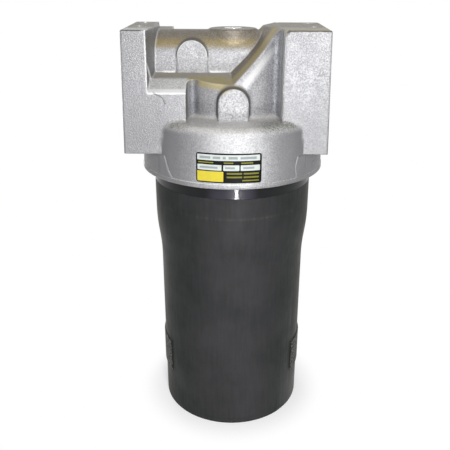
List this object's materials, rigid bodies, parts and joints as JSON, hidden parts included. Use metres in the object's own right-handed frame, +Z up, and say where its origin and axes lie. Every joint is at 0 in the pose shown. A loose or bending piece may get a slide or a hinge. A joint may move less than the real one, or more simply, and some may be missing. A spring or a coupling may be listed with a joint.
{
  "type": "hydraulic filter",
  "caption": "In-line hydraulic filter with a die-cast head, two side ports, a bypass valve, a pleated element and a bowl that unscrews downwards.",
  "frame": {"origin": "centre of the bowl's flat base, on the bowl's axis", "axes": "+Z up along the bowl's axis towards the head, +X towards the outlet port, front of the head at -Y"},
  "size_m": [0.1641, 0.1558, 0.352],
  "materials": {
    "cast_aluminium": "bare die-cast surface",
    "bowl_coating": "satin black coating on extruded aluminium",
    "rubber": "moulded nitrile rubber",
    "backup_plastic": "turned white plastic",
    "turned_aluminium": "turned",
    "plated_steel": "zinc plated",
    "spring_steel": "bare spring wire",
    "filter_media": "pleated glass-fibre mat"
  },
  "bodies": {
    "head": {"head_casting": "cast_aluminium", "outlet_spigot": "turned_aluminium", "element_upper_cap": "plated_steel", "element_seal_ring": "rubber", "element_media": "filter_media", "element_core_tube": "plated_steel", "element_lower_cap": "plated_steel", "bypass_body": "turned_aluminium", "bypass_o_ring": "rubber", "bypass_spring": "spring_steel", "bypass_guide": "plated_steel", "bypass_retaining_ring": "spring_steel", "bleed_plug": "plated_steel", "bleed_plug_ring": "rubber"},
    "bowl_travel": {"bowl_o_ring": "rubber", "bowl_backup_ring": "backup_plastic"},
    "bowl": {"bowl": "bowl_coating", "element_spring": "spring_steel", "element_spring_seat": "plated_steel"},
    "bypass_poppet": {"bypass_poppet": "turned_aluminium"}
  },
  "joints": [
    {"name": "bowl_lowering", "type": "slide", "parent": "head", "child": "bowl_travel", "axis": [0, 0, -1], "range_m": [0, 0.021]},
    {"name": "bowl_unscrewing", "type": "hinge", "parent": "bowl_travel", "child": "bowl", "pos_m": [0, 0, 0.12], "axis": [0, 0, -1], "range_deg": [0, 2520]},
    {"name": "bypass_opening", "type": "slide", "parent": "head", "child": "bypass_poppet", "axis": [1, 0, 0], "range_m": [0, 0.006], "stiffness_N_per_m": 8000, "springref_m": -0.0076, "deforming": ["bypass_spring"]}
  ],
  "couplings": [
    {"joint": "bowl_lowering", "follows": "bowl_unscrewing", "m_per_rad": 0.00047746}
  ]
}
